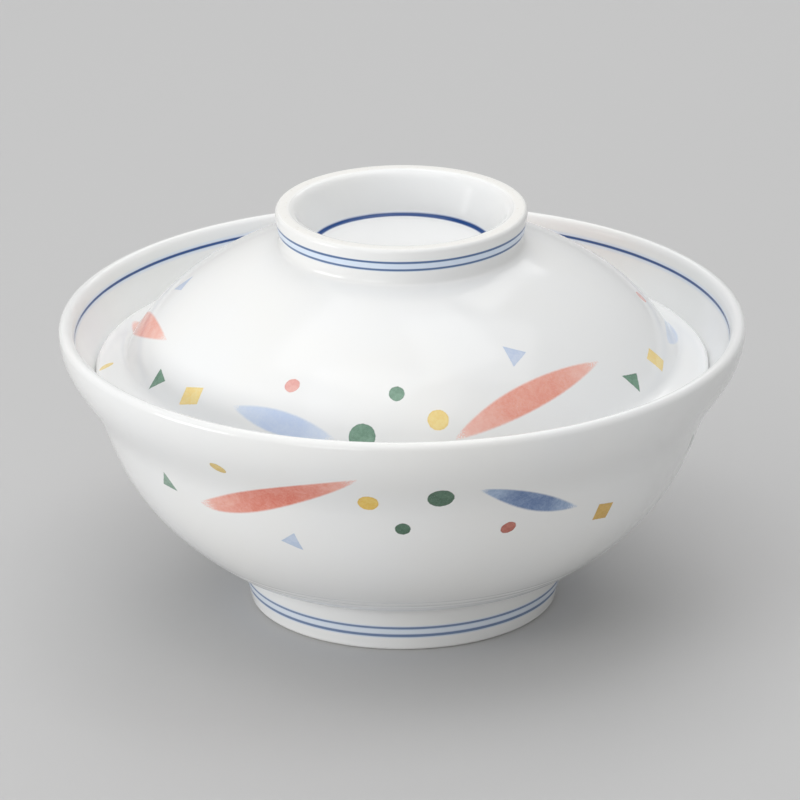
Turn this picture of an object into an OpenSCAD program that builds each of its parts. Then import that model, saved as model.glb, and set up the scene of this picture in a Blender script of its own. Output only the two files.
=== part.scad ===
// A deep noodle or rice bowl of glazed porcelain with its loose lid.
// All lengths are in millimetres. The table is at height 0 and +Z points up.
// Both pieces are round about the Z axis, and the lid rests inside the bowl's flared rim.

/* [Bowl] */
// Outer diameter at the lip
bowl_width = 155; // [140:1:170]
// Height of the lip above the table
bowl_height = 66.6; // [60:0.2:74]
// Wall thickness at the lip, which is rounded over in full
lip_thickness = 3.0; // [2.4:0.1:3.6]
// Wall thickness where the body meets the foot
base_thickness = 4.6; // [3.6:0.1:5.4]
// Height of the narrow neck under the flare, as a share of the bowl's height
neck_height_share = 0.69; // [0.66:0.01:0.72]
// Radius at the neck, as a share of the lip's radius
neck_radius_share = 0.881; // [0.86:0.001:0.9]
// Lean of the wall at the neck, in degrees from upright
neck_lean = 21; // [15:1:26]
// Lean of the wall where it leaves the foot, in degrees from upright
base_lean = 59; // [56:1:63]

/* [Foot] */
// Outer diameter of the foot where it stands on the table
foot_width = 69.8; // [64:0.2:76]
// Height of the foot up to the body
foot_height = 9.8; // [8.6:0.1:11]
// Widening of the foot's outer wall on the way up, as a share of its radius
foot_flare_share = 0.045; // [0.02:0.005:0.06]
// Thickness of the foot's wall
foot_thickness = 4.6; // [3.8:0.1:5.4]
// Radius of the two rounded edges beside the flat land that stands on the table
foot_edge_radius = 1.1; // [0.6:0.1:1.4]
// Depth of the recess inside the foot
foot_recess_depth = 6.6; // [5:0.1:7]
// Depth of the two fine turning grooves above the foot
turning_groove_depth = 0.2; // [0.15:0.05:0.4]

/* [Lid] */
// Height of the ring's top above the middle of the brim's edge
lid_height = 37.8; // [35:0.1:41]
// Wall thickness at the brim's edge, which is rounded over in full
brim_thickness = 3.0; // [2.4:0.1:3.4]
// Wall thickness where the dome leaves the ring
crown_thickness = 3.4; // [3:0.1:3.8]
// Radius of the crease between dome and brim, as a share of the brim's radius
crease_radius_share = 0.896; // [0.88:0.002:0.91]
// Height of the crease above the brim's edge, as a share of the lid's height
crease_height_share = 0.102; // [0.09:0.002:0.12]
// Lean of the wall at the crease, in degrees from upright
crease_lean = 29; // [24:1:34]
// Lean of the dome where it leaves the ring, in degrees from upright
crown_lean = 65; // [62:1:68]
// Lean of the brim at its edge, in degrees from upright
brim_lean = 62; // [56:1:66]

/* [Lid ring] */
// Outer diameter of the ring on the lid
ring_width = 56.8; // [52:0.2:60]
// Height of the ring above the dome
ring_height = 8.4; // [7.6:0.1:9.2]
// Thickness of the ring's wall below its mouth
ring_thickness = 5.4; // [5:0.1:5.8]
// Radius of the ring's rounded outer edge
ring_edge_radius = 0.9; // [0.7:0.1:1.2]
// Width of the flat land on top of the ring
ring_land_width = 1.2; // [0.8:0.1:1.6]
// Height over which the ring's mouth curves from the land into the inner wall
ring_mouth_depth = 3.0; // [2.4:0.1:3.6]
// Depth of the well inside the ring, from the ring's top
ring_well_depth = 9.5; // [9:0.1:10]
// Narrowing of the well from its mouth down to its floor, as a share of its radius
ring_well_share = 0.12; // [0.08:0.01:0.16]
// Reach of the soft corner round the floor of the well
ring_well_corner = 1.8; // [1.4:0.1:2.2]
// Wall thickness under the floor of the well
ring_well_thickness = 2.4; // [2.1:0.1:3]
// Narrowing of the ring's outer wall at its base, as a share of its radius
ring_waist_share = 0.03; // [0:0.005:0.04]

/* [Fit] */
// Height of the middle of the seated lid's edge, as a share of the bowl's height
seat_height_share = 0.8376; // [0.82:0.0004:0.86]
// Clear gap between the lid's edge and the bowl's inner wall
seat_gap = 0.3; // [0.2:0.05:0.4]

/* [Show] */
// Piece to draw

/* [Hidden] */

// Steps along each curve, and round facets for the turned shapes
curve_steps = 26;
arc_steps = 8;
groove_facets = 24;
$fn = 180;

// Angles that the rounded edges run between
quarter_turn = 90;
half_turn = 180;

// Bowl, worked out
rim_radius = bowl_width / 2;
lip_radius = lip_thickness / 2;
lip_middle = [rim_radius - lip_radius, bowl_height - lip_radius];
foot_radius = foot_width / 2;
foot_top_radius = foot_radius * (1 + foot_flare_share);
base_spread_share = 0.044;
base_point = [foot_top_radius * (1 + base_spread_share), foot_height];
neck_point = [rim_radius * neck_radius_share, bowl_height * neck_height_share];
floor_height = foot_recess_depth + base_thickness;
body_near_share = 0.6;
body_far_share = 0.19;
flare_near_share = 0.35;
flare_far_share = 0.36;

// Places on the body's curve, in steps from its foot end: the turning grooves, and the end of
// the hollow above the foot
groove_steps = [3.45, 4.35];
hollow_step = 2;
hollow_curve_share = 0.5;
hollow_drop_share = 0.22;
hollow_crease = 8;

// Lid, worked out
edge_radius = brim_thickness / 2;
ring_radius = ring_width / 2;
ring_base_radius = ring_radius * (1 - ring_waist_share);
crown_near_share = 0.15;
crown_far_share = 0.45;
brim_near_share = 0.34;
brim_far_share = 0.4;
ring_inner_radius = ring_radius - ring_thickness;
well_radius = ring_inner_radius * (1 - ring_well_share);
well_curve_share = 0.5;

// Unit direction of a wall that leans by the given angle, going up or down
function lean_up(lean) = [sin(lean), cos(lean)];
function lean_down(lean) = [sin(lean), -cos(lean)];

// One point of a smooth curve with two handle points
function curve_point(a, b, c, d, t) =
    pow(1 - t, 3) * a + 3 * t * pow(1 - t, 2) * b + 3 * t * t * (1 - t) * c + t * t * t * d;

// A smooth curve from one point to another, leaving and arriving along given directions.
// The handles are shares of the straight distance between the two points.
function smooth_curve(from, leave, near, to, arrive, far) =
    let (span = norm(to - from))
    [for (i = [0:curve_steps])
        curve_point(from, from + leave * near * span, to - arrive * far * span, to, i / curve_steps)];

// Points on an arc, its angles in degrees, the first and last points included
function arc(middle, radius, first, last) =
    [for (i = [0:arc_steps])
        let (angle = first + (last - first) * i / arc_steps)
        middle + radius * [cos(angle), sin(angle)]];

// The list without its first point, and the list turned round
function without_first(points) = [for (i = [1:len(points) - 1]) points[i]];
function reversed(points) = [for (i = [len(points) - 1:-1:0]) points[i]];

// The point of a list that a step with a fraction falls on
function point_between(points, step) =
    let (i = floor(step))
    points[i] + (points[i + 1] - points[i]) * (step - i);

// Direction square to a curve at one of its points, on the right hand of the way it runs
function side_direction(points, i) =
    let (before = points[max(i - 1, 0)])
    let (after = points[min(i + 1, len(points) - 1)])
    let (along = (after - before) / norm(after - before))
    [along[1], -along[0]];

// A curve set off by a thickness that changes evenly from its first to its last point.
// Positive thickness goes to the left of the way the curve runs.
function offset_curve(points, first, last) =
    let (count = len(points) - 1)
    [for (i = [0:count])
        points[i] - side_direction(points, i) * (first + (last - first) * i / count)];

// Outer wall of the bowl's body, from the foot up to the lip
bowl_outer = concat(
    smooth_curve(base_point, lean_up(base_lean), body_near_share,
        neck_point, lean_up(neck_lean), body_far_share),
    without_first(smooth_curve(neck_point, lean_up(neck_lean), flare_near_share,
        [rim_radius, lip_middle[1]], lean_up(0), flare_far_share)));

// Inner wall of the bowl, then its shallow floor down to the middle
bowl_inner = offset_curve(bowl_outer, base_thickness, lip_thickness);
floor_near_share = 0.3;
floor_far_share = 0.5;
bowl_floor = smooth_curve([0, floor_height], [1, 0], floor_far_share,
    bowl_inner[0], lean_up(base_lean), floor_near_share);

// The lid's edge keeps the seat gap to the inner wall. This curve is where the middle of the
// edge may lie, so the height of the seat picks how wide the lid is, whatever the bowl's size.
seat_curve = offset_curve(bowl_outer, base_thickness + edge_radius + seat_gap,
    lip_thickness + edge_radius + seat_gap);
seat_table = [for (point = seat_curve) [point[1], point[0]]];
seat_height = bowl_height * seat_height_share;
edge_middle_radius = lookup(seat_height, seat_table);
brim_radius = edge_middle_radius + edge_radius;

// Stations of the lid above the table
edge_middle = [edge_middle_radius, seat_height];
ring_top = seat_height + lid_height;
dome_top = ring_top - ring_height;
ring_floor = ring_top - ring_well_depth;
mouth_height = ring_top - ring_mouth_depth;
crown_point = [ring_base_radius, dome_top];
crease_point = [brim_radius * crease_radius_share, seat_height + lid_height * crease_height_share];
brim_end = edge_middle + edge_radius * [cos(brim_lean), sin(brim_lean)];

// Outer skin of the lid from the ring down over the crease to the brim
lid_outer = concat(
    smooth_curve(crown_point, lean_down(crown_lean), crown_near_share,
        crease_point, lean_down(crease_lean), crown_far_share),
    without_first(smooth_curve(crease_point, lean_down(crease_lean), brim_near_share,
        brim_end, lean_down(brim_lean), brim_far_share)));
lid_inner = offset_curve(lid_outer, -crown_thickness, -brim_thickness);
ceiling_height = ring_floor - ring_well_thickness;
ceiling = smooth_curve([0, ceiling_height], [1, 0], floor_far_share,
    lid_inner[0], lean_down(crown_lean), floor_near_share);

// Wall of the bowl: foot end, outer side, rounded lip, inner side and floor
module bowl_wall()
    color("white")
        rotate_extrude()
            polygon(concat(
                [[0, foot_recess_depth], [foot_radius - foot_edge_radius, foot_recess_depth]],
                bowl_outer,
                without_first(arc(lip_middle, lip_radius, 0, half_turn)),
                without_first(reversed(bowl_inner)),
                without_first(reversed(bowl_floor))));

// Foot ring: flat land between two rounded edges, its outer wall running up into the body
// through a soft hollow, its top inside the body
module foot_ring() {
    foot_inner_radius = foot_radius - foot_thickness;
    wall_top = [foot_top_radius, foot_height * (1 - hollow_drop_share)];
    wall_lean = atan((foot_top_radius - foot_radius) / (wall_top[1] - foot_edge_radius));
    color("ivory")
        rotate_extrude()
            polygon(concat(
                arc([foot_inner_radius + foot_edge_radius, foot_edge_radius],
                    foot_edge_radius, half_turn, half_turn + quarter_turn),
                arc([foot_radius - foot_edge_radius, foot_edge_radius],
                    foot_edge_radius, -quarter_turn, 0),
                smooth_curve(wall_top, lean_up(wall_lean), hollow_curve_share,
                    bowl_outer[hollow_step], lean_up(base_lean + hollow_crease), hollow_curve_share),
                [[foot_inner_radius, foot_height],
                    [foot_inner_radius * (1 - foot_flare_share), foot_recess_depth]]));
}

// Two fine grooves left by the turning tool, just above the foot
module turning_grooves() {
    groove_radius = 2 * turning_groove_depth;
    for (step = groove_steps)
        rotate_extrude()
            translate(point_between(bowl_outer, step)
                    + side_direction(bowl_outer, floor(step)) * (groove_radius - turning_groove_depth))
                circle(r = groove_radius, $fn = groove_facets);
}

// Dome, crease and brim of the lid, open underneath
module lid_shell()
    color("white")
        rotate_extrude()
            polygon(concat(
                [[0, ring_floor], [well_radius, ring_floor]],
                lid_outer,
                without_first(arc(edge_middle, edge_radius, brim_lean, brim_lean - half_turn)),
                without_first(reversed(lid_inner)),
                without_first(reversed(ceiling))));

// Ring on the lid: waisted outer wall, flat land, and a mouth that narrows to the well's floor
module lid_ring() {
    root_height = (ring_floor + ceiling_height) / 2;
    land_radius = ring_radius - ring_edge_radius - ring_land_width;
    well_lean = atan((ring_inner_radius - well_radius) / (mouth_height - ring_floor));
    inwards = [-1, 0];
    down_wall = -lean_up(well_lean);
    well_corner = [well_radius, ring_floor];
    floor_end = well_corner + inwards * ring_well_corner;
    color("ivory")
        rotate_extrude()
            polygon(concat(
                [[floor_end[0], root_height], [ring_base_radius, root_height],
                    [ring_base_radius, dome_top]],
                arc([ring_radius - ring_edge_radius, ring_top - ring_edge_radius],
                    ring_edge_radius, 0, quarter_turn),
                smooth_curve([land_radius, ring_top], inwards, well_curve_share,
                    [ring_inner_radius, mouth_height], down_wall, well_curve_share),
                smooth_curve(well_corner - down_wall * ring_well_corner, down_wall, well_curve_share,
                    floor_end, inwards, well_curve_share)));
}

// The bowl, one fired piece
module bowl()
    difference() {
        union() {
            bowl_wall();
            foot_ring();
        }
        turning_grooves();
    }

// The lid, one fired piece, drawn where it sits on the bowl
module lid() {
    lid_shell();
    lid_ring();
}

bowl();
lid();
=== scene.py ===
"""Donburi bowl with lid: two turned porcelain pieces with painted glaze on a plain pale floor."""

import math

import bpy
from bpy.props import (
    FloatProperty, FloatVectorProperty, IntProperty, IntVectorProperty, PointerProperty,
)
from mathutils import Matrix, Vector


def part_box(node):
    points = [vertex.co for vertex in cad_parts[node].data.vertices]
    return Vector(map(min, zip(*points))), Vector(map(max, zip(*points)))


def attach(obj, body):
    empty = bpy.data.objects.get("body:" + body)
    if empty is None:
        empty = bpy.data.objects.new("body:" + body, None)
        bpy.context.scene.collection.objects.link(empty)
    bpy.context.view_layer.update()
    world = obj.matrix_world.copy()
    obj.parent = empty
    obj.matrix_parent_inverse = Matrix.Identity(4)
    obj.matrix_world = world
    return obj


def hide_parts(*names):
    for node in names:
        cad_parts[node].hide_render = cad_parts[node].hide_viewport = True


bl_info = {
    "name": "Donburi bowl with lid",
    "version": (1, 0, 0),
    "blender": (4, 5, 0),
    "location": "3D View > Sidebar > Donburi",
    "description": "Turns a lidded porcelain bowl, paints its glaze and sets a plain studio",
    "category": "Add Mesh",
}

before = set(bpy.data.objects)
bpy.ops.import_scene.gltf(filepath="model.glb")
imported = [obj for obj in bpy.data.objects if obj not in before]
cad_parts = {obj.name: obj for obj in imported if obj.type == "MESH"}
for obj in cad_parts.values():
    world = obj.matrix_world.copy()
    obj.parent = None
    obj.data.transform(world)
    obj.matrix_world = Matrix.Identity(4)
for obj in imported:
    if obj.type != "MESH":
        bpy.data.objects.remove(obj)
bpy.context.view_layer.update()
BOWL_LOW, BOWL_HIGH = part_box("bowl")
LID_LOW, LID_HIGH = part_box("lid")

MM = 0.001

# Points nearer to each other than this count as one
NEAREST = 0.02 * MM

# The map's U holds the number of the nearest transfer sheet in steps of this many radians
SHEET_STRIDE = 10.0


# Plane curves: every profile point is (radius, height), in metres


def lean_up(lean):
    """Unit direction of a wall that leans outwards by an angle in degrees, going up."""
    return Vector((math.sin(math.radians(lean)), math.cos(math.radians(lean))))


def lean_down(lean):
    """The same, going down."""
    return Vector((math.sin(math.radians(lean)), -math.cos(math.radians(lean))))


def smooth_curve(start, leave, near, end, arrive, far, steps):
    """A cubic curve between two points; its handles are shares of their distance."""
    start, end = Vector(start), Vector(end)
    span = (end - start).length
    second, third = start + leave * near * span, end - arrive * far * span
    points = []
    for i in range(steps + 1):
        t = i / steps
        s = 1.0 - t
        points.append(
            start * s**3 + second * 3 * t * s**2 + third * 3 * t**2 * s + end * t**3
        )
    return points


def arc(middle, radius, first, last, steps):
    """Points on an arc between two angles in degrees."""
    points = []
    for i in range(steps + 1):
        angle = math.radians(first + (last - first) * i / steps)
        points.append(Vector(middle) + Vector((math.cos(angle), math.sin(angle))) * radius)
    return points


def offset_curve(points, first, last):
    """The curve set off to its left by a thickness that changes evenly along it."""
    count = len(points) - 1
    out = []
    for i, point in enumerate(points):
        along = points[min(i + 1, count)] - points[max(i - 1, 0)]
        along.normalize()
        depth = first + (last - first) * i / count
        out.append(point + Vector((-along.y, along.x)) * depth)
    return out


def join(*runs):
    """One run of points out of several, with doubled points left out."""
    points = []
    for run in runs:
        for point in run:
            if not points or (point - points[-1]).length > NEAREST:
                points.append(point)
    return points


def ways(points):
    """Distance along the profile at each of its points."""
    out = [0.0]
    for before, after in zip(points, points[1:]):
        out.append(out[-1] + (after - before).length)
    return out


def way_after(points, marks, start, height):
    """Distance along the profile where it next passes a height, after a given way."""
    for i in range(len(points) - 1):
        low, high = points[i].y, points[i + 1].y
        if marks[i] >= start and (low - height) * (high - height) <= 0 and low != high:
            return marks[i] + (marks[i + 1] - marks[i]) * (height - low) / (high - low)
    raise ValueError(f"The profile doesn't pass {height} m after {start} m")


def nearest_way(points, marks, target):
    """Distance along the profile at its point nearest to a target."""
    best = min(range(len(points)), key=lambda i: (points[i] - Vector(target)).length)
    return marks[best]


def wrapped(angle):
    """The angle between -pi and pi."""
    return math.remainder(angle, math.tau)


def turned_mesh(name, points, turns, sheets):
    """Turns a profile that starts and ends on the axis into a closed mesh.

    Its UV map "paint" holds what the painted glaze needs: U is the azimuth in radians from
    the middle of the nearest transfer sheet, plus that sheet's number times SHEET_STRIDE, and
    V the way along the profile in millimetres.
    """
    marks = ways(points)
    inner = points[1:-1]
    vertices = [(0.0, 0.0, points[0].y)]
    for point in inner:
        for j in range(turns):
            angle = math.tau * j / turns
            vertices.append((point.x * math.cos(angle), point.x * math.sin(angle), point.y))
    vertices.append((0.0, 0.0, points[-1].y))
    last = len(vertices) - 1

    def vertex(i, j):
        return 1 + i * turns + j % turns

    faces, marks_of = [], []
    for j in range(turns):
        faces.append((0, vertex(0, j + 1), vertex(0, j)))
        marks_of.append(((j + 0.5, 0), (j + 1, 1), (j, 1)))
    for i in range(len(inner) - 1):
        for j in range(turns):
            faces.append(
                (vertex(i, j), vertex(i, j + 1), vertex(i + 1, j + 1), vertex(i + 1, j))
            )
            marks_of.append(((j, i + 1), (j + 1, i + 1), (j + 1, i + 2), (j, i + 2)))
    top = len(inner) - 1
    for j in range(turns):
        faces.append((vertex(top, j), vertex(top, j + 1), last))
        marks_of.append(((j, top + 1), (j + 1, top + 1), (j + 0.5, top + 2)))

    mesh = bpy.data.meshes.new(name)
    mesh.from_pydata(vertices, [], faces)
    layer = mesh.uv_layers.new(name="paint")
    loop = 0
    for corners in marks_of:
        middle = math.tau * (sum(c[0] for c in corners) / len(corners)) / turns
        number = min(range(len(sheets)), key=lambda k: abs(wrapped(middle - sheets[k])))
        around = wrapped(middle - sheets[number]) + SHEET_STRIDE * number
        for turn, mark in corners:
            shift = math.tau * turn / turns - middle
            layer.data[loop].uv = (around + shift, marks[mark] / MM)
            loop += 1
    mesh.polygons.foreach_set("use_smooth", [True] * len(faces))
    mesh.update()
    piece = bpy.data.objects.new(name, mesh)
    bpy.context.scene.collection.objects.link(piece)
    return piece


# Shader node helpers


def opaque(colour):
    """A colour with its fourth part, as sockets take it."""
    return (*colour[:3], 1.0)


class Wiring:
    """A node tree with short ways to add nodes and link them."""

    def __init__(self, tree):
        self.tree = tree
        self.column = 0

    def node(self, kind, **values):
        """A new node, placed after the last one, with its settings."""
        made = self.tree.nodes.new(kind)
        self.column += 1
        made.location = (40 * self.column, -30 * (self.column % 7))
        for key, value in values.items():
            setattr(made, key, value)
        return made

    def put(self, socket, value):
        """Links another socket to this one, or writes a plain value to it."""
        if isinstance(value, bpy.types.NodeSocket):
            self.tree.links.new(value, socket)
        else:
            socket.default_value = opaque(value) if socket.type == "RGBA" else value

    def fed(self, made, *values):
        """The outputs of a node, with its first inputs filled in order."""
        for socket, value in zip(made.inputs, values):
            self.put(socket, value)
        return made.outputs

    def math(self, operation, *values, clamp=False):
        made = self.node("ShaderNodeMath", operation=operation, use_clamp=clamp)
        return self.fed(made, *values)[0]

    def plus(self, first, second, clamp=False):
        return self.math("ADD", first, second, clamp=clamp)

    def minus(self, first, second, clamp=False):
        return self.math("SUBTRACT", first, second, clamp=clamp)

    def times(self, first, second):
        return self.math("MULTIPLY", first, second)

    def vector(self, operation, *values):
        made = self.node("ShaderNodeVectorMath", operation=operation)
        single = operation in {"DOT_PRODUCT", "LENGTH"}
        return self.fed(made, *values)["Value" if single else "Vector"]

    def split(self, vector):
        return self.fed(self.node("ShaderNodeSeparateXYZ"), vector)

    def joined(self, *parts):
        return self.fed(self.node("ShaderNodeCombineXYZ"), *parts)[0]

    def turned_back(self, vector, degrees):
        """The vector turned about Z by minus the angle."""
        made = self.node("ShaderNodeVectorRotate", rotation_type="Z_AXIS")
        self.put(made.inputs["Vector"], vector)
        self.put(made.inputs["Angle"], self.times(self.math("RADIANS", degrees), -1.0))
        return made.outputs[0]

    def step(self, value, low, high, out_low=0.0, out_high=1.0):
        """Smooth step of a value from low to high."""
        made = self.node("ShaderNodeMapRange", interpolation_type="SMOOTHSTEP")
        for key, item in (
            ("Value", value), ("From Min", low), ("From Max", high),
            ("To Min", out_low), ("To Max", out_high),
        ):
            self.put(made.inputs[key], item)
        return made.outputs["Result"]

    def fall(self, value, low, high):
        """Smooth step down from one to zero."""
        return self.step(value, low, high, 1.0, 0.0)

    def edge(self, inside, soft):
        """Mask of what lies inside an outline, given the depth inside it."""
        return self.step(inside, self.times(soft, -1.0), soft)

    def between(self, value, first, last, soft):
        """One between two values, fading to zero over twice the soft distance at both ends."""
        rise = self.step(value, first - soft, first + soft)
        return self.times(rise, self.fall(value, last - soft, last + soft))

    def noise(self, where, scale, detail=2.0, roughness=0.5):
        made = self.node("ShaderNodeTexNoise")
        self.put(made.inputs["Vector"], where)
        self.put(made.inputs["Scale"], scale)
        self.put(made.inputs["Detail"], detail)
        self.put(made.inputs["Roughness"], roughness)
        return made.outputs["Fac"]

    def waver(self, where, scale, reach, detail=2.0, roughness=0.5):
        """Noise about zero, over a given reach."""
        noise = self.noise(where, scale, detail, roughness)
        return self.times(self.minus(noise, 0.5), reach)

    def mix(self, share, first, second):
        """A colour between two others."""
        made = self.node("ShaderNodeMix", data_type="RGBA")
        self.put(made.inputs["Factor"], share)
        self.put(made.inputs[6], first)
        self.put(made.inputs[7], second)
        return made.outputs[2]

    def group(self, tree, **values):
        """The outputs of a shader group, with its named inputs filled."""
        made = self.node("ShaderNodeGroup", node_tree=tree)
        for key, value in values.items():
            self.put(made.inputs[key.replace("_", " ")], value)
        return made.outputs


VALUE, VECTOR, COLOR = "NodeSocketFloat", "NodeSocketVector", "NodeSocketColor"
ORIGIN = (0.0, 0.0, 0.0)


def new_group(name, inputs, outputs):
    """A shader node group: its wiring, the inputs it is given and its output sockets.

    inputs: defaults by name, where three numbers mean a vector and four a colour. outputs:
    kinds by name.
    """
    tree = bpy.data.node_groups.new(name, "ShaderNodeTree")
    for socket, default in inputs.items():
        kind = VALUE if isinstance(default, float) else (VECTOR if len(default) == 3 else COLOR)
        made = tree.interface.new_socket(socket, in_out="INPUT", socket_type=kind)
        made.default_value = default
    for socket, kind in outputs.items():
        tree.interface.new_socket(socket, in_out="OUTPUT", socket_type=kind)
    wiring = Wiring(tree)
    return wiring, wiring.node("NodeGroupInput").outputs, wiring.node("NodeGroupOutput").inputs


# Noise scales per millimetre: the wavering edges of the motifs, the pigment's wash, blots and
# flecks, and the tooth of a brush that runs dry
DOT_WAVER, PATCH_WAVER, LEAF_WAVER = 1.1, 1.4, 1.6
WASH_SCALE, BLOT_SCALE, FLECK_SCALE, TOOTH_SCALE = 0.28, 1.3, 5.5, 3.2


def place_group():
    """Millimetres from a motif's middle: X round the piece, Y along its profile.

    Azimuths, Ways and Turns each hold the motif's values on the three transfer sheets, and
    Sheet is one for the sheet that is shaded and zero for the others.
    """
    w, given, out = new_group(
        "motif_place",
        {"Paint": ORIGIN, "Radius": 60.0, "Sheet": (1.0, 0.0, 0.0), "Azimuths": ORIGIN,
         "Ways": ORIGIN, "Turns": ORIGIN},
        {"Place": VECTOR},
    )
    parts = w.split(given["Paint"])
    azimuth, way, turned = (
        w.vector("DOT_PRODUCT", given["Sheet"], given[name])
        for name in ("Azimuths", "Ways", "Turns")
    )
    turn = w.minus(parts["X"], w.math("RADIANS", azimuth))
    place = w.joined(w.times(turn, given["Radius"]), w.minus(parts["Y"], way))
    w.put(out["Place"], w.turned_back(place, turned))
    return w.tree


def dot_group():
    """A brushed dot: its mask and its darker rim."""
    w, given, out = new_group(
        "brushed_dot",
        {"Place": ORIGIN, "Half size": (2.0, 2.0, 1.0), "Slant": 0.0, "Rim width": 0.35,
         "Softness": 0.12},
        {"Mask": VALUE, "Rim": VALUE},
    )
    turned = w.turned_back(given["Place"], given["Slant"])
    share = w.vector("LENGTH", w.vector("DIVIDE", turned, given["Half size"]))
    size = w.vector("LENGTH", given["Place"])
    reach = w.math("DIVIDE", size, w.math("MAXIMUM", share, 0.001))
    inside = w.minus(reach, size)
    inside = w.plus(inside, w.waver(given["Place"], DOT_WAVER, 0.35))
    w.put(out["Mask"], w.edge(inside, given["Softness"]))
    w.put(out["Rim"], w.fall(inside, 0.0, given["Rim width"]))
    return w.tree


def patch_group():
    """A flat-sided patch between four corners in order; a triangle has one on a side."""
    w, given, out = new_group(
        "brushed_patch",
        {"Place": ORIGIN, "Corner 1": ORIGIN, "Corner 2": ORIGIN, "Corner 3": ORIGIN,
         "Corner 4": ORIGIN, "Rim width": 0.3, "Softness": 0.12},
        {"Mask": VALUE, "Rim": VALUE},
    )
    inside = None
    for i in (1, 2, 3, 4):
        start, end = given[f"Corner {i}"], given[f"Corner {i % 4 + 1}"]
        along = w.vector("NORMALIZE", w.vector("SUBTRACT", end, start))
        across = w.vector("CROSS_PRODUCT", (0.0, 0.0, 1.0), along)
        side = w.vector("DOT_PRODUCT", w.vector("SUBTRACT", given["Place"], start), across)
        inside = side if inside is None else w.math("MINIMUM", inside, side)
    inside = w.plus(inside, w.waver(given["Place"], PATCH_WAVER, 0.25))
    w.put(out["Mask"], w.edge(inside, given["Softness"]))
    w.put(out["Rim"], w.fall(inside, 0.0, given["Rim width"]))
    return w.tree


def leaf_group():
    """A long pointed leaf between two tips, each side with its own bulge.

    Share runs from 0 at the first tip to 1 at the second.
    """
    w, given, out = new_group(
        "brushed_leaf",
        {"Place": ORIGIN, "Tip 1": (-10.0, 0.0, 0.0), "Tip 2": (10.0, 0.0, 0.0),
         "Left bulge": 2.0, "Right bulge": 2.0, "Left skew": 1.0, "Right skew": 1.0,
         "Left fullness": 1.0, "Right fullness": 1.0, "Softness": 0.34, "Ragged": 0.3},
        {"Mask": VALUE, "Share": VALUE},
    )
    chord = w.vector("SUBTRACT", given["Tip 2"], given["Tip 1"])
    along = w.vector("NORMALIZE", chord)
    across = w.vector("CROSS_PRODUCT", (0.0, 0.0, 1.0), along)
    local = w.vector("SUBTRACT", given["Place"], given["Tip 1"])
    run = w.vector("DOT_PRODUCT", local, along)
    share = w.math("DIVIDE", run, w.vector("LENGTH", chord), clamp=True)
    off = w.vector("DOT_PRODUCT", local, across)
    ragged = w.waver(given["Place"], LEAF_WAVER, given["Ragged"], 4.0, 0.7)
    sides = []
    for side, sign in (("Left", 1.0), ("Right", -1.0)):
        bent = w.math("POWER", share, given[f"{side} skew"])
        hump = w.times(w.times(bent, w.minus(1.0, bent)), 4.0)
        hump = w.math("POWER", w.math("MAXIMUM", hump, 0.0), given[f"{side} fullness"])
        reach = w.times(hump, given[f"{side} bulge"])
        sides.append(w.minus(reach, w.times(off, sign)))
    inside = w.plus(w.math("MINIMUM", sides[0], sides[1]), ragged)
    # Beyond the tips nothing is painted
    ends = w.times(w.step(share, 0.0, 0.01), w.fall(share, 0.99, 1.0))
    w.put(out["Mask"], w.times(w.edge(inside, given["Softness"]), ends))
    w.put(out["Share"], share)
    return w.tree


def pigment_group():
    """Watery pigment: its colour between thin and deep, and its density with small pale flecks.

    Pool says where the colour gathers, and Blotches how strongly it varies elsewhere.
    """
    w, given, out = new_group(
        "watery_pigment",
        {"Place": ORIGIN, "Thin": (1.0, 1.0, 1.0, 1.0), "Deep": (0.5, 0.5, 0.5, 1.0),
         "Blotches": 0.5, "Grain": 0.5, "Pool": 0.0, "Pool depth": 0.4},
        {"Color": COLOR, "Density": VALUE},
    )
    wash = w.noise(given["Place"], WASH_SCALE, 3.0, 0.6)
    blot = w.noise(given["Place"], BLOT_SCALE, 4.0, 0.65)
    fleck = w.noise(given["Place"], FLECK_SCALE, 3.0, 0.6)
    mixed = w.plus(w.times(wash, 0.55), w.times(blot, 0.45))
    mixed = w.minus(w.step(mixed, 0.32, 0.68), 0.5)
    deep = w.plus(w.times(mixed, given["Blotches"]), 0.5)
    pool = w.times(given["Pool"], given["Pool depth"])
    deep = w.plus(deep, pool, clamp=True)
    w.put(out["Color"], w.mix(deep, given["Thin"], given["Deep"]))
    pale = w.times(w.step(fleck, 0.56, 0.74), given["Grain"])
    w.put(out["Density"], w.minus(1.0, pale, clamp=True))
    return w.tree


def line_group():
    """A line drawn round the piece on the wheel: the line itself and its pale halo."""
    w, given, out = new_group(
        "wheel_line",
        {"Paint": ORIGIN, "Where": ORIGIN, "Way": 0.0, "Width": 0.55, "Halo": 0.6},
        {"Line": VALUE, "Halo": VALUE},
    )
    way = w.plus(w.split(given["Paint"])["Y"], w.waver(given["Where"], 40.0, 0.16, 3.0))
    off = w.math("ABSOLUTE", w.minus(way, given["Way"]))
    swell = w.plus(0.82, w.times(w.noise(given["Where"], 90.0), 0.36))
    half = w.times(w.times(given["Width"], 0.5), swell)
    full, gone = (w.times(half, share) for share in (0.55, 1.35))
    w.put(out["Line"], w.fall(off, full, gone))
    w.put(out["Halo"], w.fall(off, half, w.plus(half, given["Halo"])))
    return w.tree


GROUPS = {
    "motif_place": place_group, "brushed_dot": dot_group, "brushed_patch": patch_group,
    "brushed_leaf": leaf_group, "watery_pigment": pigment_group, "wheel_line": line_group,
}


def shared(name):
    """The named shader group, built the first time it is asked for."""
    return bpy.data.node_groups.get(name) or GROUPS[name]()


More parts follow.
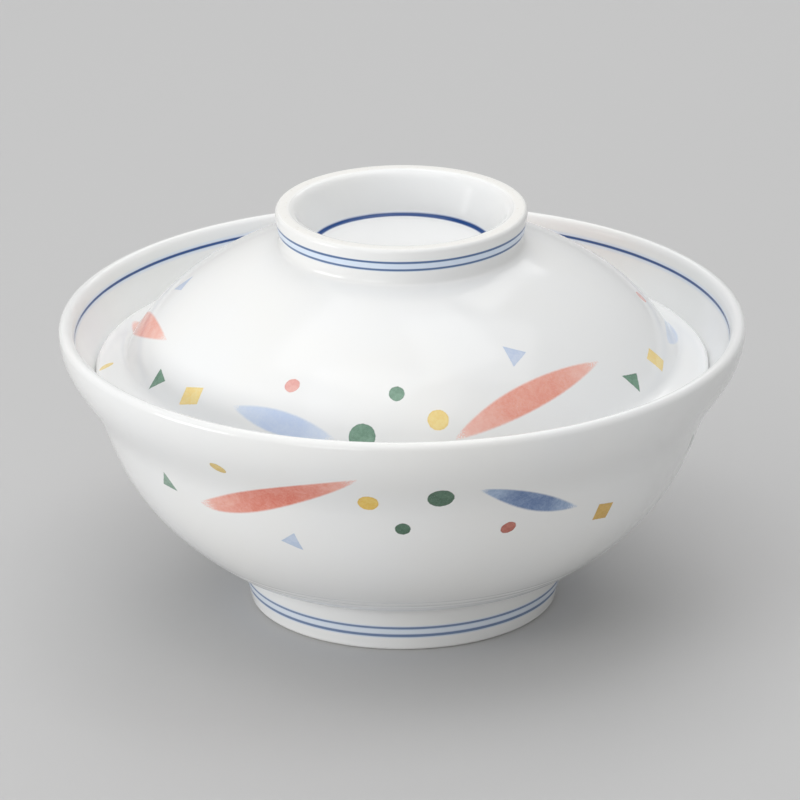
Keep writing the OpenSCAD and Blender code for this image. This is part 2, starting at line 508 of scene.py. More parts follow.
# Painted motifs. Each is at an azimuth in degrees and a way in millimetres along the outer wall
# from where the wall leaves the foot or the ring. A dot has a size and perhaps a slant, a patch
# has corners, and a leaf has tips and the bulge, skew and fullness of both sides, all in
# millimetres from the motif's middle. The same transfer sheet goes on three times; "moved" says
# how far a motif was shifted (azimuth, way) and turned on the second or third sheet.

BOWL_SHEETS = (-94.0, 28.6, 142.0)
LID_SHEETS = (-71.0, 51.0, 165.7)

BOWL_MOTIFS = (
    dict(pigment="sage", at=(-140.22, 46.97),
         corners=((-0.25, 2.83), (-2.26, -1.23), (0.1, -1.42), (2.49, -1.61)),
         moved={1: (1.5, -0.8, 24.0), 2: (-1.0, 1.2, -70.0)}),
    dict(pigment="straw", at=(-123.34, 59.3), size=(2.05, 1.3), slant=-29.0,
         moved={1: (1.0, -1.0, 20.0), 2: (-2.0, -1.5, 60.0)}),
    dict(pigment="coral", at=(-114.84, 53.26),
         tips=((-20.11, -8.53), (22.57, 8.53)), left=(1.9, 1.05, 1.0), right=(4.5, 0.72, 0.85),
         moved={1: (0.5, 0.8, 1.5), 2: (-0.6, 0.5, -1.5)}),
    dict(pigment="mist", at=(-112.08, 38.9),
         corners=((0.73, 2.67), (-2.82, -0.29), (-0.4, -1.35), (2.07, -2.38)),
         moved={1: (-1.5, 0.9, 40.0), 2: (1.2, -0.8, -18.0)}),
    dict(pigment="yellow", at=(-96.28, 53.09), size=(2.3, 2.45)),
    dict(pigment="bottle", at=(-90.12, 44.98), size=(1.72, 1.65)),
    dict(pigment="bottle", at=(-83.36, 54.7), size=(2.98, 3.05)),
    dict(pigment="brick", at=(-69.71, 43.14), size=(1.85, 1.5), slant=30.0),
    dict(pigment="slate", at=(-65.84, 50.96),
         tips=((-13.62, 5.78), (12.62, -5.78)), left=(2.05, 0.8, 1.0), right=(3.1, 1.1, 1.0),
         moved={1: (0.6, -0.7, 2.0), 2: (-0.5, 0.6, -2.5)}),
    dict(pigment="ochre", at=(-47.81, 41.2),
         corners=((-1.93, 2.61), (-2.52, -1.75), (1.78, -2.56), (2.66, 1.7)),
         moved={1: (-1.0, 1.0, 35.0), 2: (1.0, 0.5, -50.0)}),
)

LID_MOTIFS = (
    dict(pigment="yellow", at=(-18.01, 39.38),
         corners=((0.64, -2.96), (3.29, 1.69), (-0.44, 3.0), (-3.41, -1.73)),
         moved={1: (1.0, -0.9, 28.0), 2: (0.03, 0.65, -76.0)}),
    dict(pigment="green", at=(-30.9, 39.58),
         corners=((-2.72, -2.12), (2.56, -0.92), (0.2, 3.05), (-1.26, 0.46)),
         moved={1: (-1.0, 0.6, 50.0), 2: (-0.3, 1.09, -100.0)}),
    dict(pigment="straw", at=(-51.6, 48.6), size=(2.0, 0.95), slant=20.0,
         moved={2: (-0.6, 0.8, 35.0)}),
    dict(pigment="coral", at=(-58.57, 37.29),
         tips=((-22.33, 5.09), (20.05, -5.09)), left=(0.6, 0.8, 1.0), right=(5.6, 1.0, 0.95),
         moved={2: (0.2, 3.0, -6.8)}),
    dict(pigment="sky", at=(-59.84, 24.39),
         corners=((-1.6, -2.79), (3.05, -0.02), (0.8, 1.4), (-1.43, 2.8)),
         moved={2: (-1.6, 0.7, 3.0)}),
    dict(pigment="lemon", at=(-82.38, 37.59), size=(2.35, 2.35)),
    dict(pigment="green", at=(-91.35, 31.19), size=(1.72, 1.78)),
    dict(pigment="green", at=(-98.46, 41.39), size=(2.95, 3.0)),
    dict(pigment="rose", at=(-116.48, 31.32), size=(1.75, 1.6), slant=-30.0),
    dict(pigment="pale_sky", at=(-116.65, 40.61),
         tips=((-12.97, -1.63), (13.36, 1.63)), left=(2.3, 1.0, 1.0), right=(3.0, 1.0, 1.0),
         moved={1: (0.8, 2.2, 4.0), 2: (-0.6, 0.6, -3.0)}),
)


def on_sheets(motif, first_middle, base_way):
    """A motif's azimuths, ways and turns on the three sheets."""
    moved = [motif.get("moved", {}).get(number, (0.0, 0.0, 0.0)) for number in range(3)]
    azimuths, ways_of, turns = zip(*moved)
    azimuth, way = motif["at"]
    return (
        tuple(azimuth - first_middle + shift for shift in azimuths),
        tuple(way + base_way + shift for shift in ways_of),
        turns,
    )


def brushed_motif(w, motif, place):
    """Mask of a motif, and where its colour gathers."""
    if "size" in motif:
        made = w.group(
            shared("brushed_dot"), Place=place, Half_size=(*motif["size"], 1.0),
            Slant=motif.get("slant", 0.0),
        )
        return made["Mask"], made["Rim"]
    if "corners" in motif:
        corners = {f"Corner_{i + 1}": (*c, 0.0) for i, c in enumerate(motif["corners"])}
        made = w.group(shared("brushed_patch"), Place=place, **corners)
        return made["Mask"], made["Rim"]

    tips = {f"Tip_{i + 1}": (*tip, 0.0) for i, tip in enumerate(motif["tips"])}
    sides = {
        f"{side.capitalize()}_{part}": value
        for side in ("left", "right")
        for part, value in zip(("bulge", "skew", "fullness"), motif[side])
    }
    made = w.group(shared("brushed_leaf"), Place=place, **tips, **sides)
    share = made["Share"]
    # The brush runs dry towards both tips
    loaded = w.times(w.step(share, 0.0, 0.2, 0.25, 1.0), w.step(share, 0.74, 1.0, 1.0, 0.3))
    dry = w.times(w.minus(1.0, loaded), 0.75)
    low = w.minus(dry, 0.12)
    wet = w.step(w.noise(place, TOOTH_SCALE, 3.0, 0.6), low, w.plus(low, 0.24))
    # The colour pools in the middle
    pool = w.times(w.step(share, 0.05, 0.42), w.fall(share, 0.6, 0.98))
    return w.times(made["Mask"], wet), w.minus(pool, 0.5)


# How deep the colour gathers, how many flecks show and how blotchy it is
FULL_BRUSH, DRY_BRUSH = (0.55, 0.35, 0.7), (0.7, 0.5, 0.5)

# Soft edges in millimetres of a wash and of a bare land, and how strongly halos and specks show
WASH_EDGE, BARE_EDGE, HALO_SHARE, SPECK_SHARE = 0.22, 0.6, 0.7, 0.35

# Noise scales per metre of the glaze's patches, the specks in bare clay and the glaze's ripple,
# then the weight of the broad ripple and the bump's strength and height
PATCH_SCALE, SPECK_SCALE, FINE_RIPPLE, BROAD_RIPPLE = 22.0, 1400.0, 60.0, 14.0
BROAD_SHARE, RIPPLE_STRENGTH, RIPPLE_HEIGHT = 2.5, 0.05, 0.6 * MM
GLAZE_IOR = 1.5


def painted_glaze(name, motifs, first_middle, base_way, colours, bands, lines, bare, look):
    """White glaze over porcelain with motifs, washes, wheel lines and bare lands.

    bands: (first way, last way, strength) of pale washes. lines: (way, width, halo, strength,
    colour). bare: (first way, last way) of the land where the glaze was wiped off.
    """
    material = bpy.data.materials.new(name)
    material.use_nodes = True
    w = Wiring(material.node_tree)
    w.tree.nodes.clear()
    output = w.node("ShaderNodeOutputMaterial")
    shader = w.node("ShaderNodeBsdfPrincipled")
    w.put(output.inputs["Surface"], shader.outputs[0])
    around, way, _ = w.split(w.node("ShaderNodeUVMap", uv_map="paint").outputs[0])
    where = w.node("ShaderNodeTexCoord").outputs["Object"]
    flat = w.vector("MULTIPLY", where, (1.0, 1.0, 0.0))
    radius = w.times(w.vector("LENGTH", flat), 1.0 / MM)

    # Which of the three sheets this is, as a vector with a one at its place
    number = w.math("ROUND", w.math("DIVIDE", around, SHEET_STRIDE))
    turn = w.minus(around, w.times(number, SHEET_STRIDE))
    paint = w.joined(turn, way)
    sheet = w.joined(*(w.math("COMPARE", number, value, 0.5) for value in (0.0, 1.0, 2.0)))

    # The glaze itself, with a trace of warmer and cooler patches
    patches = w.step(w.noise(where, PATCH_SCALE, 3.0), 0.35, 0.7)
    base = w.mix(patches, look.glaze_cool, look.glaze_warm)

    for motif in motifs:
        thin, deep = (srgb(*ink) for ink in colours[motif["pigment"]])
        azimuths, ways_of, turns = on_sheets(motif, first_middle, base_way)
        place = w.group(
            shared("motif_place"), Paint=paint, Radius=radius, Sheet=sheet,
            Azimuths=azimuths, Ways=ways_of, Turns=turns,
        )["Place"]
        mask, pool = brushed_motif(w, motif, place)
        pool_depth, grain, blotches = DRY_BRUSH if "tips" in motif else FULL_BRUSH
        ink = w.group(
            shared("watery_pigment"), Place=place, Thin=thin, Deep=deep,
            Blotches=blotches, Grain=grain, Pool=pool, Pool_depth=pool_depth,
        )
        base = w.mix(w.times(mask, ink["Density"]), base, ink["Color"])

    for first, last, strength in bands:
        wash = w.times(w.between(way, first, last, WASH_EDGE), strength)
        base = w.mix(wash, base, look.wash_blue)
    for line_way, width, halo, strength, ink in lines:
        made = w.group(
            shared("wheel_line"), Paint=paint, Where=where, Way=line_way, Width=width, Halo=halo
        )
        base = w.mix(w.times(made["Halo"], HALO_SHARE), base, look.halo_blue)
        base = w.mix(w.times(made["Line"], strength), base, ink)

    first, last = bare
    inside = w.between(way, first, last, BARE_EDGE)
    specks = w.times(w.step(w.noise(where, SPECK_SCALE), 0.6, 0.74), SPECK_SHARE)
    clay = w.mix(specks, look.bare_clay, look.speck)
    rough = w.times(inside, look.bare_roughness)
    w.put(shader.inputs["Base Color"], w.mix(inside, base, clay))
    w.put(shader.inputs["Roughness"], w.plus(look.glaze_roughness, rough))
    w.put(shader.inputs["IOR"], GLAZE_IOR)

    broad = w.times(w.noise(where, BROAD_RIPPLE, 1.0), BROAD_SHARE)
    bump = w.node("ShaderNodeBump")
    w.put(bump.inputs["Strength"], RIPPLE_STRENGTH)
    w.put(bump.inputs["Distance"], RIPPLE_HEIGHT)
    w.put(bump.inputs["Height"], w.plus(w.noise(where, FINE_RIPPLE), broad))
    w.put(shader.inputs["Normal"], bump.outputs[0])
    return material


def srgb(red, green, blue):
    """A colour given as 0 to 255, as the linear values that shaders take."""
    out = []
    for value in (red, green, blue):
        value /= 255.0
        out.append(value / 12.92 if value <= 0.04045 else ((value + 0.055) / 1.055) ** 2.4)
    return tuple(out)


def length_mm(name, value, about):
    """A size property in metres, given in millimetres."""
    return FloatProperty(
        name=name, description=about, default=value * MM, min=0.0, unit="LENGTH", subtype="DISTANCE"
    )


def colour(name, value, about):
    """A colour property, given as 0 to 255."""
    return FloatVectorProperty(
        name=name, description=about, default=srgb(*value), min=0.0, max=1.0, size=3,
        subtype="COLOR",
    )


class BowlShape(bpy.types.PropertyGroup):
    """Sizes of the bowl."""

    width: length_mm("Width", (BOWL_HIGH[0] - BOWL_LOW[0]) / MM, "Outer diameter at the lip")
    height: length_mm("Height", (BOWL_HIGH[2] - BOWL_LOW[2]) / MM, "Height of the lip")
    lip: length_mm("Lip thickness", 3.0, "Wall thickness at the lip")
    base: length_mm("Base thickness", 4.6, "Wall thickness where the body meets the foot")
    foot_width: length_mm("Foot width", 69.8, "Outer diameter of the foot on the table")
    foot_height: length_mm("Foot height", 9.8, "Height of the foot up to the body")
    foot_thickness: length_mm("Foot thickness", 4.6, "Thickness of the foot's wall")
    foot_edge: length_mm("Foot edge", 1.1, "Radius of the foot's rounded edges")
    recess: length_mm("Foot recess", 6.6, "Depth of the recess inside the foot")
    groove_steps: IntVectorProperty(
        name="Groove steps", description="Steps of the wall's curve where the tool cut a groove",
        default=(7, 9), size=2, min=5,
    )
    groove_width: length_mm("Groove width", 1.9, "Width of a turning groove")
    groove_depth: length_mm("Groove depth", 0.08, "Depth of a turning groove")


class LidShape(bpy.types.PropertyGroup):
    """Sizes of the lid."""

    width: length_mm("Width", (LID_HIGH[0] - LID_LOW[0]) / MM, "Diameter across the brim")
    height: length_mm("Height", 37.8, "From the middle of the brim's edge to the ring's top")
    brim: length_mm("Brim thickness", 3.0, "Wall thickness at the brim's edge")
    crown: length_mm("Crown thickness", 3.4, "Wall thickness where the dome leaves the ring")
    ring_width: length_mm("Ring width", 56.8, "Outer diameter of the ring")
    ring_height: length_mm("Ring height", 8.4, "Height of the ring above the dome")
    ring_thickness: length_mm("Ring thickness", 5.4, "Thickness of the ring's wall below its mouth")
    ring_edge: length_mm("Ring edge", 0.9, "Radius of the ring's rounded outer edge")
    ring_land: length_mm("Ring land", 1.2, "Width of the flat land on top of the ring")
    mouth_depth: length_mm("Mouth depth", 3.0, "Height over which the ring's mouth curves inwards")
    well_depth: length_mm("Well depth", 9.5, "Depth of the well inside the ring")
    well_corner: length_mm("Well corner", 1.8, "Reach of the soft corner round the well's floor")
    well_thickness: length_mm("Well thickness", 2.4, "Wall thickness under the well")


class GlazeLook(bpy.types.PropertyGroup):
    """Colours and gloss of the glaze and its painting."""

    glaze_warm: colour("Warm glaze", (243, 243, 241), "Glaze where it is thin")
    glaze_cool: colour("Cool glaze", (242, 243, 243), "Glaze where it is thick")
    bare_clay: colour("Bare clay", (243, 242, 238), "Unglazed porcelain on the lands")
    speck: colour("Speck", (196, 184, 166), "Fine grains in the bare clay")
    line_blue: colour("Line blue", (30, 84, 140), "Cobalt of the thin lines round the pieces")
    deep_blue: colour("Deep blue", (4, 66, 134), "Cobalt of the broad lines")
    wash_blue: colour("Wash blue", (220, 233, 250), "Thin cobalt between two lines")
    halo_blue: colour("Halo blue", (214, 226, 244), "Pale cobalt that ran beside the lines")
    bare_roughness: FloatProperty(
        name="Bare roughness", description="How much rougher the bare lands are than the glaze",
        default=0.5, min=0.0, max=1.0, subtype="FACTOR",
    )
    glaze_roughness: FloatProperty(
        name="Glaze roughness", description="How soft the reflections in the glaze are",
        default=0.13, min=0.0, max=1.0, subtype="FACTOR",
    )


class StudioLook(bpy.types.PropertyGroup):
    """Floor, light and camera."""

    floor: colour("Floor", (201, 201, 201), "Colour of the floor")
    lamps: FloatProperty(
        name="Lamps", description="Brightness of all the lamps together", default=1.0, min=0.0
    )
    fill: FloatProperty(
        name="Fill", description="Strength of the light from all round", default=0.44, min=0.0
    )
    camera_distance: FloatProperty(
        name="Camera distance", description="From the camera to the middle of the view",
        default=1.8273, unit="LENGTH", subtype="DISTANCE",
    )
    camera_height: FloatProperty(
        name="Camera elevation", description="How far the camera looks down",
        default=math.radians(21.34), subtype="ANGLE",
    )
    turns: IntProperty(
        name="Turns", description="Steps round each turned piece", default=192, min=24
    )


# Stations and shares that bowl and lid have in common with the solids
NECK_HEIGHT, NECK_RADIUS, NECK_LEAN, BASE_LEAN = 0.69, 0.881, 21.0, 59.0
FOOT_FLARE, BASE_SPREAD = 0.045, 0.044
HOLLOW_DROP, HOLLOW_CREASE = 0.22, 8.0
SEAT_GAP = 0.3 * MM
CREASE_RADIUS, CREASE_HEIGHT, CREASE_LEAN = 0.896, 0.102, 29.0
CROWN_LEAN, BRIM_LEAN = 65.0, 62.0
RING_WAIST, WELL_NARROWING = 0.03, 0.12

# Under the foot: size of the recess's soft corner, how far the roof sinks to it and how far
# the corner runs outwards
RECESS_CORNER, RECESS_SINK, RECESS_REACH = 2.2 * MM, 0.25 * MM, 0.15 * MM
# Height over which the ring's outer wall runs out into the dome
RING_FILLET = 1.4 * MM

# Steps along each half of a wall, and how many of them one step of the solids takes
STEPS = 52
FINE = STEPS // 26

# The bowl's lip is round for this many degrees, then runs out over these steps of the inner wall
LIP_TURN, LIP_STEPS = 118.0, 12


def bowl_outer(shape):
    """Outer wall of the bowl from the foot to the lip."""
    rim, foot = shape.width / 2, shape.foot_width / 2 * (1 + FOOT_FLARE)
    base = Vector((foot * (1 + BASE_SPREAD), shape.foot_height))
    neck = Vector((rim * NECK_RADIUS, shape.height * NECK_HEIGHT))
    lip = Vector((rim, shape.height - shape.lip / 2))
    return join(
        smooth_curve(base, lean_up(BASE_LEAN), 0.6, neck, lean_up(NECK_LEAN), 0.19, STEPS),
        smooth_curve(neck, lean_up(NECK_LEAN), 0.35, lip, lean_up(0.0), 0.36, STEPS),
    )


def grooved(points, places, width, depth):
    """The curve with a soft groove cut into its right side at each distance from its start."""
    marks = ways(points)
    cuts = sorted({place + width * (i / 12 - 0.5) for place in places for i in range(13)})
    kept = [m for m in marks if all(abs(m - place) > width / 2 for place in places)]
    out = []
    for mark in sorted(kept + cuts):
        i = max(k for k, m in enumerate(marks[:-1]) if m <= mark)
        along = points[i + 1] - points[i]
        point = points[i] + along * ((mark - marks[i]) / (marks[i + 1] - marks[i]))
        near = min(abs(mark - place) for place in places)
        if near < width / 2:
            sink = depth * (1 + math.cos(math.tau * near / width)) / 2
            point += Vector((-along.y, along.x)).normalized() * sink
        out.append(point)
    return out


def bowl_profile(shape):
    """The whole profile of the bowl, and the way along it where its body curve would start."""
    outer = bowl_outer(shape)
    inner = offset_curve(outer, shape.base, shape.lip)
    foot = shape.foot_width / 2
    top = foot * (1 + FOOT_FLARE)
    inside = foot - shape.foot_thickness
    edge = shape.foot_edge
    roof = inside * (1 - FOOT_FLARE)
    roof_end = Vector((roof - RECESS_CORNER, shape.recess - RECESS_SINK))
    roof_wall = Vector((roof + RECESS_REACH, shape.recess - RECESS_CORNER))
    out = Vector((1, 0))
    floor = shape.recess + shape.base
    wall_top = Vector((top, shape.foot_height * (1 - HOLLOW_DROP)))
    wall = (wall_top - Vector((foot, edge))).normalized()
    hollow_end = 2 * FINE
    points = join(
        smooth_curve((0, shape.recess), out, 0.4, roof_end, out, 0.4, 14),
        smooth_curve(roof_end, out, 0.55, roof_wall, Vector((0.1, -1)).normalized(), 0.55, 8),
        arc((inside + edge, edge), edge, 180, 270, 8),
        arc((foot - edge, edge), edge, 270, 360, 8),
        smooth_curve((foot, edge), wall, 0.3, wall_top, wall, 0.3, 14),
        smooth_curve(wall_top, wall, 0.5, outer[hollow_end],
                     lean_up(BASE_LEAN + HOLLOW_CREASE), 0.5, 16),
    )
    skipped = ways(outer)[hollow_end]
    start = ways(points)[-1] - skipped
    body = outer[hollow_end:]
    grooves = [(ways(outer)[k] - skipped) for k in shape.groove_steps]
    lip_middle = (shape.width / 2 - shape.lip / 2, shape.height - shape.lip / 2)
    # The lip's round runs out softly into the inner wall
    rounded = arc(lip_middle, shape.lip / 2, 0, LIP_TURN, 20)
    wall_start = len(inner) - 1 - LIP_STEPS
    points = join(
        points, grooved(body, grooves, shape.groove_width, shape.groove_depth), rounded,
        smooth_curve(rounded[-1], lean_up(-LIP_TURN), 0.3, inner[wall_start],
                     (inner[wall_start - 1] - inner[wall_start + 1]).normalized(), 0.4, 20),
        reversed(inner[:wall_start]),
        smooth_curve(inner[0], -lean_up(BASE_LEAN), 0.3, (0, floor), -out, 0.5, 24),
    )
    return points, start


def lid_profile(shape, bowl):
    """The whole profile of the seated lid, and the way along it where its dome would start."""
    brim, edge = shape.width / 2, shape.brim / 2
    seat = offset_curve(bowl_outer(bowl), bowl.base + edge + SEAT_GAP, bowl.lip + edge + SEAT_GAP)
    middle = None
    for low, high in zip(seat, seat[1:]):
        if low.y > bowl.height / 2 and low.x <= brim - edge <= high.x:
            middle = low + (high - low) * ((brim - edge - low.x) / (high.x - low.x))
    if middle is None:
        raise ValueError("The lid doesn't meet the bowl's inner wall")
    top = middle.y + shape.height
    dome = top - shape.ring_height
    ring = shape.ring_width / 2
    waist = ring * (1 - RING_WAIST)
    hollow = ring - shape.ring_thickness
    round_edge = shape.ring_edge
    land = ring - round_edge - shape.ring_land
    well = Vector((hollow * (1 - WELL_NARROWING), top - shape.well_depth))
    mouth = Vector((hollow, top - shape.mouth_depth))
    up_wall = (mouth - well).normalized()
    out, up = Vector((1, 0)), Vector((0, 1))
    crown, slope = Vector((waist, dome)), lean_down(CROWN_LEAN)
    crease = Vector((brim * CREASE_RADIUS, middle.y + shape.height * CREASE_HEIGHT))
    lean = math.radians(BRIM_LEAN)
    end = middle + Vector((math.cos(lean), math.sin(lean))) * edge
    outer = join(
        smooth_curve(crown, slope, 0.15, crease, lean_down(CREASE_LEAN), 0.45, STEPS),
        smooth_curve(crease, lean_down(CREASE_LEAN), 0.34, end, lean_down(BRIM_LEAN), 0.4, STEPS),
    )
    inner = offset_curve(outer, -shape.crown, -shape.brim)
    after = next(i for i, p in enumerate(outer) if (p - outer[0]).length > RING_FILLET)
    waist_end = Vector((waist, dome + RING_FILLET))
    points = join(
        smooth_curve((0, well.y), out, 0.4, well - out * shape.well_corner, out, 0.4, 12),
        smooth_curve(well - out * shape.well_corner, out, 0.5,
                     well + up_wall * shape.well_corner, up_wall, 0.5, 10),
        smooth_curve(well + up_wall * shape.well_corner, up_wall, 0.3, mouth, up_wall, 0.3, 8),
        smooth_curve(mouth, up_wall, 0.5, (land, top), out, 0.5, 16),
        list(reversed(arc((ring - round_edge, top - round_edge), round_edge, 0, 90, 8))),
        smooth_curve((ring, top - round_edge), -up, 0.4,
                     waist_end, Vector((-0.06, -1)).normalized(), 0.35, 14),
        smooth_curve(waist_end, -up, 0.55, outer[after], slope, 0.5, 8),
    )
    start = ways(points)[-1] - ways(outer)[after]
    points = join(
        points, outer[after:], arc(middle, edge, BRIM_LEAN, BRIM_LEAN - 180, 12), reversed(inner),
        smooth_curve(inner[0], -slope, 0.3, (0, well.y - shape.well_thickness), -out, 0.5, 20),
    )
    return points, start


# Each pigment where it lies thin and where it pooled, as 0 to 255
PIGMENTS_BOWL = {
    "coral": ((246, 190, 176), (226, 128, 108)),
    "brick": ((206, 132, 116), (172, 94, 80)),
    "sage": ((160, 184, 168), (116, 148, 130)),
    "bottle": ((96, 130, 108), (66, 98, 78)),
    "straw": ((232, 210, 144), (212, 182, 104)),
    "yellow": ((244, 214, 122), (230, 186, 78)),
    "ochre": ((230, 192, 108), (208, 164, 72)),
    "mist": ((210, 220, 236), (182, 199, 224)),
    "slate": ((176, 196, 222), (102, 128, 172)),
}
PIGMENTS_LID = {
    "coral": ((248, 202, 190), (238, 162, 144)),
    "rose": ((242, 196, 188), (228, 162, 154)),
    "green": ((136, 172, 150), (94, 134, 112)),
    "straw": ((248, 232, 176), (236, 208, 132)),
    "lemon": ((250, 230, 160), (242, 210, 128)),
    "yellow": ((252, 234, 172), (250, 218, 136)),
    "sky": ((212, 221, 237), (186, 202, 230)),
    "pale_sky": ((218, 228, 243), (198, 213, 239)),
}


# Heights of the foot's lines, drops of the ring's lines below its top, and the profile point
# (radius, height) of the line inside the rim, in millimetres
FOOT_LINES, RING_LINES, RIM_LINE = (3.93, 5.95), (3.1, 4.95), (74.2, 62.7)
# Where the line in the lid's well lies, inwards and up from the corner of its floor
WELL_LINE = (0.3 * MM, 0.5 * MM)


def dress(piece, node, body, material):
    """Puts the material on a piece, which stands for its solid and moves with it."""
    piece.data.materials.append(material)
    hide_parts(node)
    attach(piece, body)


class BuildBowl(bpy.types.Operator):
    """Turn the bowl and paint its glaze"""

    bl_idname = "donburi.build_bowl"
    bl_label = "Build bowl"

    def execute(self, context):
        scene = context.scene
        shape, look = scene.donburi_bowl, scene.donburi_glaze
        points, start = bowl_profile(shape)
        marks = ways(points)
        sheets = [math.radians(a) for a in BOWL_SHEETS]
        piece = turned_mesh("bowl_porcelain", points, scene.donburi_studio.turns, sheets)
        foot, edge = shape.foot_width / 2, shape.foot_edge
        outside = nearest_way(points, marks, (foot - edge, 0.0))
        lower, upper = (
            way_after(points, marks, outside, height * MM) / MM for height in FOOT_LINES
        )
        inside = nearest_way(points, marks, Vector(RIM_LINE) * MM) / MM
        first = nearest_way(points, marks, (foot - shape.foot_thickness + edge, 0.0)) / MM
        material = painted_glaze(
            "bowl_glaze", BOWL_MOTIFS, BOWL_SHEETS[0], start / MM, PIGMENTS_BOWL,
            [(lower - 0.3, upper + 0.3, 0.62)],
            [(lower, 0.76, 0.5, 0.78, look.line_blue), (upper, 0.6, 0.5, 0.76, look.line_blue),
             (inside, 0.66, 1.0, 0.96, look.deep_blue)],
            (first - 0.6, outside / MM + 0.6), look,
        )
        dress(piece, "bowl", "bowl", material)
        return {"FINISHED"}


class BuildLid(bpy.types.Operator):
    """Turn the lid and paint its glaze"""

    bl_idname = "donburi.build_lid"
    bl_label = "Build lid"

    def execute(self, context):
        scene = context.scene
        shape, look = scene.donburi_lid, scene.donburi_glaze
        points, start = lid_profile(shape, scene.donburi_bowl)
        marks = ways(points)
        sheets = [math.radians(a) for a in LID_SHEETS]
        piece = turned_mesh("lid_porcelain", points, scene.donburi_studio.turns, sheets)
        top = max(p.y for p in points)
        ring = shape.ring_width / 2
        outside = nearest_way(points, marks, (ring - shape.ring_edge, top))
        upper, lower = (
            way_after(points, marks, outside, top - drop * MM) / MM for drop in RING_LINES
        )
        well = (ring - shape.ring_thickness) * (1 - WELL_NARROWING)
        well_line = (well - WELL_LINE[0], top - shape.well_depth + WELL_LINE[1])
        corner = nearest_way(points, marks, well_line) / MM
        first = nearest_way(points, marks, (ring - shape.ring_edge - shape.ring_land, top)) / MM
        material = painted_glaze(
            "lid_glaze", LID_MOTIFS, LID_SHEETS[0], start / MM, PIGMENTS_LID,
            [(upper, lower, 0.95)],
            [(upper, 0.56, 0.15, 0.92, look.line_blue), (lower, 0.56, 0.3, 0.9, look.line_blue),
             (corner, 1.15, 0.45, 1.0, look.deep_blue)],
            (first - 0.8, outside / MM + 0.3), look,
        )
        dress(piece, "lid", "lid", material)
        return {"FINISHED"}


def soft_light(name, place, size, power):
    """A square area light that faces the piece."""
    lamp = bpy.data.lights.new(name, "AREA")
    lamp.shape = "SQUARE"
    lamp.size = size
    lamp.energy = power
    holder = bpy.data.objects.new(name, lamp)
    holder.location = place
    facing = Vector(LAMP_TARGET) - Vector(place)
    holder.rotation_euler = facing.to_track_quat("-Z", "Y").to_euler()
    bpy.context.scene.collection.objects.link(holder)


# The soft lamps face one point. Each has a name, a place and a side in metres, and watts
LAMP_TARGET = (0.0, 0.0, 0.05)
STUDIO_LAMPS = (
    ("overhead_panel", (-0.1, 0.1, 1.3), 1.1, 3.7),
    ("front_overhead_panel", (-0.2, -0.7, 1.2), 1.2, 3.2),
    ("back_overhead_panel", (0.1, 0.9, 1.0), 0.8, 3.0),
    ("right_overhead_panel", (0.4, 0.1, 1.2), 0.7, 1.3),
    ("low_left_panel", (-1.4, -0.5, 0.1), 0.8, 11.4),
    ("front_left_panel", (-0.6, -1.4, 0.12), 0.6, 4.0),
)


# Half of the floor's side
FLOOR_REACH = 6.0

# The camera: focal length and picture width in pixels, sensor in millimetres, roll in degrees,
# and the middle of its view in metres
FOCAL, PICTURE, SENSOR, ROLL = 8060, 800, 36.0, -0.37
VIEW_MIDDLE = (-0.00057, 0.0, 0.04691)


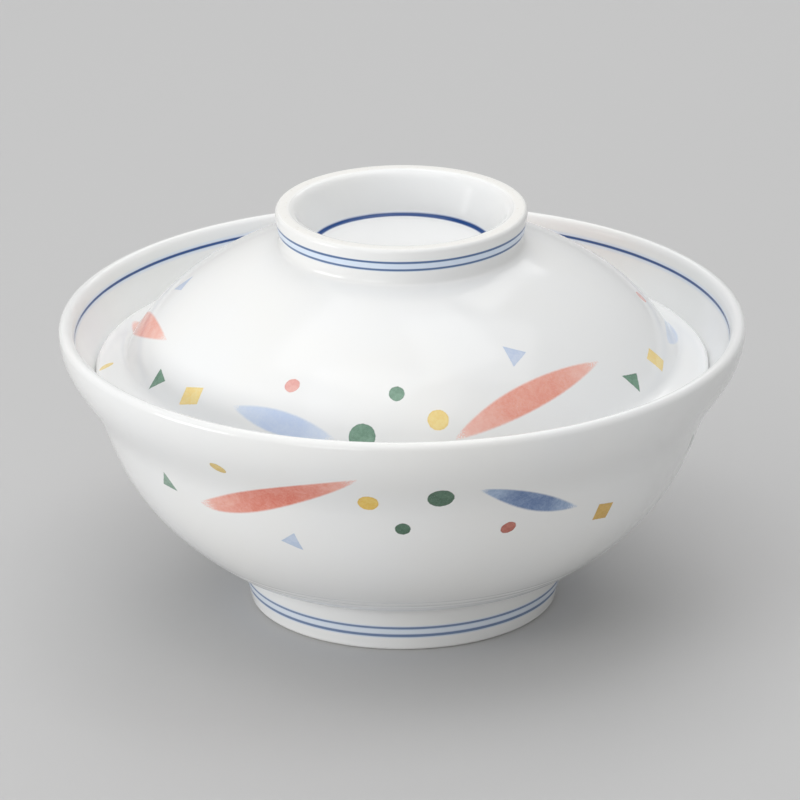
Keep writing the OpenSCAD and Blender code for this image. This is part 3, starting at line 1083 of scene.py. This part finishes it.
class BuildStudio(bpy.types.Operator):
    """Set the floor, the soft light and the camera"""

    bl_idname = "donburi.build_studio"
    bl_label = "Build studio"

    def execute(self, context):
        scene = context.scene
        studio = scene.donburi_studio
        mesh = bpy.data.meshes.new("floor")
        near, far = -FLOOR_REACH, FLOOR_REACH
        corners = [(near, near, 0), (far, near, 0), (far, far, 0), (near, far, 0)]
        mesh.from_pydata(corners, [], [(0, 1, 2, 3)])
        floor = bpy.data.objects.new("floor", mesh)
        scene.collection.objects.link(floor)
        material = bpy.data.materials.new("floor_paper")
        material.use_nodes = True
        shader = material.node_tree.nodes["Principled BSDF"]
        shader.inputs["Base Color"].default_value = opaque(studio.floor)
        shader.inputs["Roughness"].default_value = 0.85
        shader.inputs["Specular IOR Level"].default_value = 0.2
        mesh.materials.append(material)

        world = bpy.data.worlds.new("studio_air")
        world.use_nodes = True
        air = world.node_tree.nodes["Background"]
        air.inputs["Color"].default_value = (1.0, 1.0, 1.0, 1.0)
        air.inputs["Strength"].default_value = studio.fill
        scene.world = world
        for name, place, size, power in STUDIO_LAMPS:
            soft_light(name, place, size, power * studio.lamps)

        elevation = studio.camera_height
        back = Vector((0.0, -math.cos(elevation), math.sin(elevation)))
        right = Vector((1.0, 0.0, 0.0))
        up = back.cross(right)
        roll = math.radians(ROLL)
        side = right * math.cos(roll) + up * math.sin(roll)
        head = up * math.cos(roll) - right * math.sin(roll)
        camera = bpy.data.cameras.new("camera")
        camera.sensor_width = SENSOR
        camera.lens = FOCAL * SENSOR / PICTURE
        camera.clip_end = 50.0
        holder = bpy.data.objects.new("camera", camera)
        turn = Matrix((side, head, back)).transposed()
        place = Vector(VIEW_MIDDLE) + back * studio.camera_distance
        holder.matrix_world = Matrix.Translation(place) @ turn.to_4x4()
        scene.collection.objects.link(holder)
        scene.camera = holder
        scene.view_settings.view_transform = "Standard"
        return {"FINISHED"}


class DonburiPanel(bpy.types.Panel):
    """Lists the sizes and the pieces"""

    bl_idname = "DONBURI_PT_pieces"
    bl_label = "Donburi bowl"
    bl_space_type = "VIEW_3D"
    bl_region_type = "UI"
    bl_category = "Donburi"

    def draw(self, context):
        scene = context.scene
        for label, group, operator in (
            ("Bowl", scene.donburi_bowl, BuildBowl), ("Lid", scene.donburi_lid, BuildLid),
            ("Glaze", scene.donburi_glaze, None), ("Studio", scene.donburi_studio, BuildStudio),
        ):
            box = self.layout.box()
            box.label(text=label)
            for name in group.__annotations__:
                box.prop(group, name)
            if operator:
                box.operator(operator.bl_idname)


CLASSES = (
    BowlShape, LidShape, GlazeLook, StudioLook, BuildBowl, BuildLid, BuildStudio, DonburiPanel,
)
GROUP_OF = {
    "donburi_bowl": BowlShape, "donburi_lid": LidShape,
    "donburi_glaze": GlazeLook, "donburi_studio": StudioLook,
}


def register():
    """Adds the classes and their settings."""
    for item in CLASSES:
        bpy.utils.register_class(item)
    for name, item in GROUP_OF.items():
        setattr(bpy.types.Scene, name, PointerProperty(type=item))


def unregister():
    """Takes them away again."""
    for name in GROUP_OF:
        delattr(bpy.types.Scene, name)
    for item in reversed(CLASSES):
        bpy.utils.unregister_class(item)


def main():
    """Builds the bowl, the lid and the studio."""
    register()
    bpy.ops.donburi.build_bowl()
    bpy.ops.donburi.build_lid()
    bpy.ops.donburi.build_studio()


if __name__ == "__main__":
    main()
